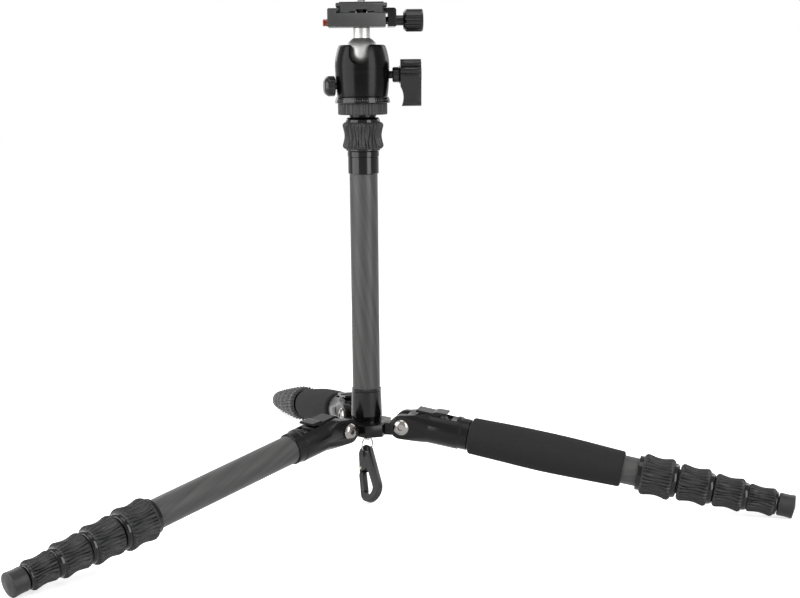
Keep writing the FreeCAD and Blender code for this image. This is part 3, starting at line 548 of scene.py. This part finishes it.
for leg in legNames:
    for index in range(4):
        tag = leg + "_lock_" + str(index + 1)
        lock = {"node": tag, "length": lockLook["lengths"][index], "radius": lockLook["radii"][index],
                "ridges": lockLook["ridges"][index], "crown": lockLook["crowns"][index],
                "ring": lockLook["firstRing"] if index == 0 else 0.0, "span": lockLook["legSpan"],
                "wideTube": tubeRadii[index], "narrowTube": tubeRadii[index + 1],
                "fade": lockLook["legFade"], "shift": 0.9 * index + legNames.index(leg)}
        addLock(leg + "TwistLock" + str(index + 1), tag, jointPoint(tag + "_turn"), jointAxis(tag + "_turn"),
                lock, "legRubber")
spanLow, spanHigh = lockLook["columnSpan"]
columnLock = {"node": "column_lock", "length": lockLook["columnLength"], "radius": lockLook["columnRadius"],
              "ridges": lockLook["columnRidges"], "crown": (1 - spanHigh) * lockLook["columnLength"],
              "ring": spanLow * lockLook["columnLength"], "span": lockLook["columnSpan"],
              "wideTube": tubeRadii[0], "narrowTube": tubeRadii[1],
              "fade": lockLook["columnFade"], "shift": 0.4}
addLock("columnTwistLock", "column_lock_ring", *tubeAxes["column"], columnLock, "rubber")
print("twist locks made")

# foam grips
foamGrip = {"from": 54.4, "to": 176.0, "radii": (14.4, 15.5, 14.0), "bore": 11.3, "firstLock": 203.0,
            "fattestAt": 0.45, "rounding": 1.7, "rows": 40, "around": 72}


def addFoamGrip(leg):
    near, fat, far = foamGrip["radii"]
    start, end = foamGrip["from"], foamGrip["to"]
    span = end - start
    profile = []
    rows, rounding, fattest = foamGrip["rows"], foamGrip["rounding"], foamGrip["fattestAt"]
    for k in range(rows + 1):
        t = 0.5 - 0.5 * math.cos(math.pi * k / rows)
        along = start + span * t
        if t < fattest:
            reach = near + (fat - near) * math.sin(math.pi / 2 * t / fattest)
        else:
            reach = far + (fat - far) * math.cos(math.pi / 2 * (t - fattest) / (1 - fattest))
        edge = min(along - start, end - along)
        if edge < rounding:
            reach -= rounding - math.sqrt(max(0.0, rounding ** 2 - (rounding - edge) ** 2))
        profile.append((reach, along, 1.0))
    profile += [(foamGrip["bore"], end, 0.0), (foamGrip["bore"], start, 0.0)]

    def handRelief(angles, height):
        # the slight unevenness of soft foam
        return 0.10 * np.sin(2 * angles + 0.07 * height) + 0.06 * np.sin(5 * angles + 0.11 * height)

    direction = tubeAxes[leg][1]
    hinge = tubeAxes[leg][0] - direction * (foamGrip["firstLock"] * mm)
    shell = spun(profile, foamGrip["around"], handRelief)
    grip = addPiece(leg + "FoamSleeve", [shell], [finishes["foam"]], leg + "_leg",
                    placedOn(hinge, direction), 40, [leg + "_foam_grip"])


for leg in foamLegs:
    addFoamGrip(leg)
print("foam grips made")

# last section: thin tube and rubber foot
footLook = {"tubeFrom": 70.0, "wall": 1.2, "start": 295.4, "socket": 8.0, "edge": 307.0, "cone": 1.7,
            "radius": 9.0, "lip": 1.4, "lipRound": 1.2}


def addFoot(leg):
    tube = tubeRadii[4]
    start, edge, reach = footLook["start"], footLook["edge"], footLook["radius"]
    tubeEnd = start + footLook["socket"] - 0.2
    pipe = [(tube, footLook["tubeFrom"]), (tube, tubeEnd), (tube - footLook["wall"], tubeEnd),
            (tube - footLook["wall"], footLook["tubeFrom"])]
    skin = tube + 0.02
    lip, lipRound = footLook["lip"], footLook["lipRound"]
    foot = [(skin, start), (reach - lip, start)]
    foot += arcSteps((reach - lip, start + lipRound), lipRound, -90, 0, 5)
    foot += [(reach - 0.3, start + 3.4), (reach - 0.35, start + 6.5), (reach, edge - 0.7), (reach, edge)]
    foot += [(reach - 0.5, edge + 0.35), (0.7 * reach, edge + 0.3 * footLook["cone"] + 0.15)]
    foot += [(0.3 * reach, edge + 0.75 * footLook["cone"]), (0.0, edge + footLook["cone"])]
    foot = [(0.0, start + footLook["socket"]), (skin, start + footLook["socket"])] + foot
    direction = tubeAxes[leg][1]
    hinge = tubeAxes[leg][0] - direction * (foamGrip["firstLock"] * mm)
    shells = [spun(foot, 80, mark=0), spun(pipe, 64, mark=1)]
    addPiece(leg + "FootSection", shells, [finishes["legRubber"], carbon[leg]], leg + "_section_5",
             placedOn(hinge, direction), 34, [leg + "_section_5"])


for leg in legNames:
    addFoot(leg)
print("feet made")

# head platform: ribbed rubber edge on a plain neck
platform = {"edge": 19.25, "height": 8.9, "neckRadius": 10.5, "neckBore": 9.52, "neckHeight": 1.8,
            "plug": 8.28, "plugDepth": 14.0, "stud": 4.7, "studHeight": 8.0, "ribs": 38, "depth": 0.42,
            "inset": 1.9, "lowRound": 0.8, "highRound": 0.7}


def addPlatform():
    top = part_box("head_platform")[1][2] / mm
    centre = tubeAxes["column"][0]
    discBase = top - platform["studHeight"] - platform["height"]
    discTop = discBase + platform["height"]
    edge = platform["edge"]

    def ribRelief(angles, height):
        phase = platform["ribs"] * angles + 1.3 * np.sin(5 * angles + 0.4) + 0.9 * np.sin(11 * angles + 2.0)
        groove = np.clip(np.cos(phase), 0.0, 1.0) ** 2.2
        fine = np.clip(np.cos(3 * phase + 0.8), 0.0, 1.0) ** 4
        return -platform["depth"] * groove - 0.10 * fine

    inset, lowRound, highRound = platform["inset"], platform["lowRound"], platform["highRound"]
    rubberRing = [(edge - inset, discBase + 0.02)]
    rubberRing += arcSteps((edge - lowRound, discBase + lowRound), lowRound, -90, 0, 5)
    rubberRing = [(r, z, 0.0 if k < 2 else 1.0) for k, (r, z, *rest) in enumerate(rubberRing)]
    upright = platform["height"] - lowRound - highRound
    for k in range(1, 8):
        rubberRing.append((edge, discBase + lowRound + upright * k / 7, 1.0))
    rounding = arcSteps((edge - highRound, discTop - highRound), highRound, 15, 90, 5)
    rubberRing += [(r, z, 0.7 if k < 3 else 0.0) for k, (r, z, _) in enumerate(rounding)]
    rubberRing.append((edge - inset, discTop))
    inner = edge - inset - 0.02
    neckLow = discBase - platform["neckHeight"]
    core = [(0.0, discBase - platform["plugDepth"]), (platform["plug"], discBase - platform["plugDepth"]),
            (platform["plug"], discBase), (platform["neckBore"], discBase), (platform["neckBore"], neckLow),
            (platform["neckRadius"] - 0.3, neckLow), (platform["neckRadius"], neckLow + 0.3),
            (platform["neckRadius"], discBase), (inner, discBase), (inner, discTop),
            (platform["stud"], discTop), (platform["stud"], discTop + platform["studHeight"]),
            (0.0, discTop + platform["studHeight"])]
    shells = [spun(rubberRing, platform["ribs"] * 12, ribRelief, 0), spun(core, 72, mark=1)]
    place = Matrix.Translation((centre.x, centre.y, 0))
    addPiece("ribbedPlatform", shells, [finishes["rubber"], finishes["satinBlack"]], "column",
             place, 34, ["head_platform"])
    return centre, discTop


columnCentre, platformTop = addPlatform()

# scale ticks on the base ring
tickLook = {"count": 72, "long": 1.5, "short": 0.85, "width": 0.2, "foot": 1.75, "radius": 21.3,
            "radiusLevel": 1.4, "slope": 0.267, "proud": 0.04, "sunk": 0.25}


def addTicks():
    points, faces = [], []
    for k in range(tickLook["count"]):
        angle = 2 * math.pi * k / tickLook["count"]
        height = tickLook["long"] if k % 3 == 0 else tickLook["short"]
        first = len(points)
        for lift in (0.0, height):
            level = tickLook["foot"] + lift
            reach = tickLook["radius"] - tickLook["slope"] * (level - tickLook["radiusLevel"])
            for r in (reach - tickLook["sunk"], reach + tickLook["proud"]):
                for side in (-1, 1):
                    turn = angle + side * tickLook["width"] / 2 / r
                    points.append((r * mm * math.cos(turn), r * mm * math.sin(turn), level * mm))
        a = first
        faces += [(a, a + 1, a + 3, a + 2), (a + 4, a + 6, a + 7, a + 5), (a, a + 4, a + 5, a + 1),
                  (a + 2, a + 3, a + 7, a + 6), (a, a + 2, a + 6, a + 4), (a + 1, a + 5, a + 7, a + 3)]
    place = Matrix.Translation((columnCentre.x, columnCentre.y, platformTop * mm))
    addPiece("baseRingTicks", [(points, faces, 0)], [finishes["tickWhite"]], "column", place, 30)


addTicks()

# camera screw with a cut thread
screwLook = {"boss": 4.0, "bossHeight": 1.4, "head": 7.5, "headHeight": 2.0, "shank": 2.9, "thread": 3.175,
             "pitch": 1.27, "depth": 0.5, "threadLength": 4.8, "threadRows": 66, "tip": 0.6,
             "slotWidth": 1.6, "slotDepth": 1.0, "slotLength": 20.0}


def addCameraScrew():
    low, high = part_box("camera_screw")
    foot, top = low[2] / mm, high[2] / mm
    bottom = foot + screwLook["bossHeight"]
    boss = screwLook["boss"]
    threadTop = top - screwLook["tip"]
    threadFoot = threadTop - screwLook["threadLength"]
    head = screwLook["head"]

    def threadRelief(angles, height):
        # one V-shaped groove that winds up the shank
        turn = (height / screwLook["pitch"] - angles / (2 * math.pi)) % 1.0
        return -screwLook["depth"] * np.abs(2.0 * turn - 1.0)

    profile = [(0.0, foot), (boss - 0.3, foot), (boss, foot + 0.3), (boss, bottom)]
    profile += [(head - 0.4, bottom), (head, bottom + 0.4)]
    for k in range(1, 6):
        profile.append((head, bottom + 0.4 + (screwLook["headHeight"] - 0.7) * k / 5))
    headTop = bottom + screwLook["headHeight"]
    profile += [(head - 0.3, headTop), (screwLook["shank"], headTop), (screwLook["shank"], threadFoot)]
    rows = screwLook["threadRows"]
    for k in range(rows + 1):
        height = threadFoot + screwLook["threadLength"] * k / rows
        share = min(1.0, 4.0 * k / rows, 4.0 * (rows - k) / rows + 0.4)
        profile.append((screwLook["thread"] - (0.25 if k == 0 else 0.0), height, share))
    profile += [(screwLook["thread"] - 0.45, threadTop + 0.35), (screwLook["thread"] - 0.9, top), (0.0, top)]
    place = Matrix.Translation((columnCentre.x, columnCentre.y, 0))
    screw = addPiece("threadedScrew", [spun(profile, 64, threadRelief)], [finishes["silver"]], "camera_screw",
                     place, 40, ["camera_screw"])
    slotMesh = bpy.data.meshes.new("screwSlot")
    shaping = bmesh.new()
    bmesh.ops.create_cube(shaping, size=1.0)
    size = Vector((screwLook["slotLength"], screwLook["slotWidth"], 2 * screwLook["slotDepth"])) * mm
    bmesh.ops.scale(shaping, vec=size, verts=shaping.verts)
    bmesh.ops.translate(shaping, vec=(columnCentre.x, columnCentre.y, foot * mm), verts=shaping.verts)
    shaping.to_mesh(slotMesh)
    shaping.free()
    cutter = bpy.data.objects.new("screwSlot", slotMesh)
    bpy.context.scene.collection.objects.link(cutter)
    cut = screw.modifiers.new("slot", "BOOLEAN")
    cut.operation = "DIFFERENCE"
    cut.object = cutter
    cut.solver = "EXACT"
    bakeModifiers(screw)
    bpy.data.objects.remove(cutter)


addCameraScrew()

# split ring: two turns of wire
ringLook = {"radius": 6.0, "wire": 0.40, "spread": 0.34, "turns": 1.92, "steps": 150, "startDeg": 70,
            "crossing": 9.0, "tipShare": 0.55, "tipGrowth": 14.0, "sides": 12}


def addSplitRing():
    low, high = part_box("split_ring")
    centre = (Vector(low) + Vector(high)) / 2
    swing = jointAxis("ring_swing")
    level = Vector((swing.x, swing.y, 0)).normalized()
    normal = Vector((0, 0, 1)).cross(level)
    path = []
    for k in range(ringLook["steps"] + 1):
        t = k / ringLook["steps"]
        angle = math.radians(ringLook["startDeg"]) + 2 * math.pi * ringLook["turns"] * t
        shift = ringLook["spread"] * math.tanh((t - 0.5) * ringLook["crossing"])
        out = level * math.cos(angle) + Vector((0, 0, 1)) * math.sin(angle)
        path.append(centre + out * (ringLook["radius"] * mm) + normal * (shift * mm))

    def tipTaper(t):
        return min(1.0, ringLook["tipShare"] + ringLook["tipGrowth"] * min(t, 1.0 - t))

    shell = sweptTube(path, ringLook["wire"] * mm, ringLook["sides"], 0, tipTaper, normal)
    addPiece("coiledRing", [shell], [finishes["wire"]], "ring", None, 50, ["split_ring"])


addSplitRing()

# clip: rivet heads and the spring wire inside its mouth
clipLook = {
    "lean": 44.558,
    "leanTowards": 276.0,
    "ringWay": 225.0,
    "hang": 5.8,
    "thickness": 5.4,
    "rivet": (-6.78, 18.6),
    "rivetRadius": 1.15,
    "springPath": ((-0.6, 20.6), (0.35, 22.4), (1.0, 25.0), (1.75, 28.0), (2.45, 31.0), (2.9, 33.0)),
    "springRadius": 0.42,
}


def clipPlace():
    lean = math.radians(clipLook["lean"])
    towards = math.radians(clipLook["leanTowards"] + 90.0)
    tip = Matrix.Rotation(-lean, 4, Vector((math.cos(towards), math.sin(towards), 0)))
    turn = Matrix.Rotation(math.radians(clipLook["ringWay"] + 90.0), 4, "Z")
    return Matrix.Translation(jointPoint("clip_swing")) @ tip @ turn


def addClipDetails():
    place = clipPlace()
    across, down = clipLook["rivet"]
    shells = []
    for side in (-1, 1):
        face = clipLook["thickness"] / 2
        r = clipLook["rivetRadius"]
        dome = [(0.0, face - 0.3), (r * 0.9, face - 0.3), (r, face), (r, face + 0.12),
                (r * 0.75, face + 0.34), (r * 0.35, face + 0.45), (0.0, face + 0.47)]
        points, faces, mark = spun(dome, 28)
        lay = Matrix.Translation((across * mm, 0, (clipLook["hang"] - down) * mm))
        lay = lay @ Matrix.Rotation(math.radians(-90 * side), 4, "X")
        shells.append(([tuple(lay @ Vector(p)) for p in points], faces, mark))
    addPiece("clipRivetHeads", shells, [finishes["brassRivet"]], "clip", place, 40)
    path = [Vector((a * mm, 0, (clipLook["hang"] - d) * mm)) for a, d in clipLook["springPath"]]
    shell = sweptTube(path, clipLook["springRadius"] * mm, 10, 0, None, (0, 1, 0))
    addPiece("clipSpringWire", [shell], [finishes["wire"]], "clip", place, 50)


addClipDetails()
print("ring, clip and screw made")

# metal pieces with softened edges
softenedPieces = (
    ("spider", "hubSpider", "satinBlack", "hub", "black_anodised", 0.5),
    ("clamp_body", "clampBase", "clampGrey", "clamp", "dark_grey", 0.35),
    ("clamp_jaw", "clampJaw", "satinBlack", "jaw", "black_anodised", 0.35),
    ("quick_release_plate", "dovetailPlate", "clampGrey", "plate", "dark_grey", 0.3),
    ("main_knob", "wingKnob", "knobBlack", "main_knob", "black_anodised", 0.45),
    ("clip_body", "clipFrame", "clipBlack", "clip", "black_plastic", 0.15),
    ("clip_gate", "clipGate", "clipBlack", "clip_gate", "black_plastic", 0.2),
    ("left_leg_casting", "leftCasting", "satinBlack", "left_leg", "black_anodised", 0.4),
    ("right_leg_casting", "rightCasting", "satinBlack", "right_leg", "black_anodised", 0.4),
    ("rear_leg_casting", "rearCasting", "satinBlack", "rear_leg", "black_anodised", 0.4),
)
for node, name, finishName, body, slotName, width in softenedPieces:
    softenedCopy(node, name, finishes[finishName], body, width)
for leg in legNames:
    paint(leg + "_angle_latch", finishes["satinBlack"])

# discs on the knobs' outer faces
capLook = {"clampKnob": (6.4, 0.35), "mainKnob": (6.6, 0.4)}  # radius and rise


def addKnobCap(name, node, body, axisJoint, look):
    radius, rise = look
    axis = jointPoint(axisJoint)
    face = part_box(node)[1][0]
    dome = [(0.0, -0.3), (radius - 0.2, -0.3), (radius, 0.0), (radius - 0.25, 0.14),
            (radius * 0.75, rise * 0.75), (radius * 0.4, rise * 0.95), (0.0, rise)]
    place = placedOn((face, axis.y, axis.z), (1, 0, 0))
    addPiece(name, [spun(dome, 48)], [finishes["clampGrey"]], body, place, 40)


addKnobCap("clampKnobCap", "clamp_knob", "clamp_knob", "clamp_knob_turn", capLook["clampKnob"])
addKnobCap("mainKnobCap", "main_knob", "main_knob", "main_knob_turn", capLook["mainKnob"])
print("metal pieces softened")

# floor, light and camera
studio = {
    "floorSize": 12.0,
    "floorColour": (0.82, 0.82, 0.82),
    "floorGlow": 0.66,
    "worldFill": 0.42,
    "target": (0.0, 0.0, 0.18),
    "softboxes": (
        # name, compass, centre height, distance, width, tall, watts, rays it lights
        ("leftSoftbox", 220.0, 0.93, 1.25, 0.55, 1.3, 13.0, "diffuse"),
        ("rightSoftbox", 316.0, 0.93, 1.25, 0.42, 1.3, 10.0, "diffuse"),
        ("topSoftbox", 250.0, 1.88, 0.45, 1.1, 1.1, 12.0, "both"),
        ("backLeftSoftbox", 125.0, 0.98, 1.4, 0.5, 1.2, 6.0, "both"),
        ("backRightSoftbox", 40.0, 0.98, 1.4, 0.5, 1.2, 6.0, "both"),
        ("leftStrip", 207.0, 0.5, 1.0, 1.0, 1.0, 18.0, "glossy"),
        ("rightStrip", 309.0, 0.5, 1.0, 0.5, 1.0, 13.0, "glossy"),
    ),
}
shot = {"place": (-0.041358, -1.26395, 0.34494), "pitch": 8.63, "yaw": 1.292, "roll": -0.581, "lens": 70.05,
        "sensor": 36.0, "farEnd": 50.0}


def pathMask(tree):
    # 1 on camera, glossy and transmission rays
    path = tree.nodes.new("ShaderNodeLightPath")
    first = tree.nodes.new("ShaderNodeMath")
    first.operation = "MAXIMUM"
    tree.links.new(path.outputs["Is Camera Ray"], first.inputs[0])
    tree.links.new(path.outputs["Is Glossy Ray"], first.inputs[1])
    second = tree.nodes.new("ShaderNodeMath")
    second.operation = "MAXIMUM"
    tree.links.new(first.outputs["Value"], second.inputs[0])
    tree.links.new(path.outputs["Is Transmission Ray"], second.inputs[1])
    return second.outputs["Value"]


def makeFloor():
    half = studio["floorSize"] / 2
    mesh = bpy.data.meshes.new("paleFloor")
    corners = [(-half, -half, 0), (half, -half, 0), (half, half, 0), (-half, half, 0)]
    mesh.from_pydata(corners, [], [(0, 1, 2, 3)])
    floor = bpy.data.objects.new("paleFloor", mesh)
    bpy.context.scene.collection.objects.link(floor)
    material = bpy.data.materials.new("paleFloor")
    material.use_nodes = True
    tree = material.node_tree
    tree.nodes.clear()
    output = tree.nodes.new("ShaderNodeOutputMaterial")
    matt = tree.nodes.new("ShaderNodeBsdfDiffuse")
    matt.inputs["Color"].default_value = (*studio["floorColour"], 1.0)
    glow = tree.nodes.new("ShaderNodeEmission")
    strength = tree.nodes.new("ShaderNodeMath")
    strength.operation = "MULTIPLY"
    strength.inputs[1].default_value = studio["floorGlow"]
    tree.links.new(pathMask(tree), strength.inputs[0])
    tree.links.new(strength.outputs["Value"], glow.inputs["Strength"])
    both = tree.nodes.new("ShaderNodeAddShader")
    tree.links.new(matt.outputs[0], both.inputs[0])
    tree.links.new(glow.outputs[0], both.inputs[1])
    tree.links.new(both.outputs[0], output.inputs["Surface"])
    mesh.materials.append(material)


def makeWorld():
    world = bpy.data.worlds.new("studio")
    bpy.context.scene.world = world
    world.use_nodes = True
    tree = world.node_tree
    tree.nodes.clear()
    output = tree.nodes.new("ShaderNodeOutputWorld")
    background = tree.nodes.new("ShaderNodeBackground")
    background.inputs["Color"].default_value = (1.0, 1.0, 1.0, 1.0)
    level = tree.nodes.new("ShaderNodeMapRange")
    level.inputs["To Min"].default_value = studio["worldFill"]
    level.inputs["To Max"].default_value = 1.0
    tree.links.new(pathMask(tree), level.inputs["Value"])
    tree.links.new(level.outputs["Result"], background.inputs["Strength"])
    tree.links.new(background.outputs[0], output.inputs["Surface"])


def makeSoftbox(name, compass, height, distance, width, tall, watts, rays):
    data = bpy.data.lights.new(name, "AREA")
    data.shape = "RECTANGLE"
    data.size = width
    data.size_y = tall
    data.energy = watts
    light = bpy.data.objects.new(name, data)
    bpy.context.scene.collection.objects.link(light)
    target = Vector(studio["target"])
    turn = math.radians(compass)
    light.location = Vector((distance * math.cos(turn), distance * math.sin(turn), height))
    if rays == "glossy":
        target.z = height
    light.rotation_euler = (target - light.location).to_track_quat("-Z", "Y").to_euler()
    light.visible_camera = False
    light.visible_diffuse = rays != "glossy"
    light.visible_glossy = rays != "diffuse"


def makeCamera():
    pitch = math.radians(shot["pitch"])
    yaw = math.radians(shot["yaw"])
    roll = math.radians(shot["roll"])
    ahead = math.cos(pitch)
    forward = Vector((math.sin(yaw) * ahead, math.cos(yaw) * ahead, -math.sin(pitch)))
    level = Vector((math.cos(yaw), -math.sin(yaw), 0))
    upright = level.cross(forward)
    right = level * math.cos(roll) + upright * math.sin(roll)
    up = upright * math.cos(roll) - level * math.sin(roll)
    turn = Matrix((right, up, -forward)).transposed().to_4x4()
    data = bpy.data.cameras.new("viewpoint")
    data.lens = shot["lens"]
    data.sensor_width = shot["sensor"]
    data.clip_end = shot["farEnd"]
    camera = bpy.data.objects.new("viewpoint", data)
    bpy.context.scene.collection.objects.link(camera)
    camera.matrix_world = Matrix.Translation(shot["place"]) @ turn
    bpy.context.scene.camera = camera


makeFloor()
makeWorld()
for softbox in studio["softboxes"]:
    makeSoftbox(*softbox)
makeCamera()
bpy.context.scene.view_settings.view_transform = "Standard"
print("studio set")
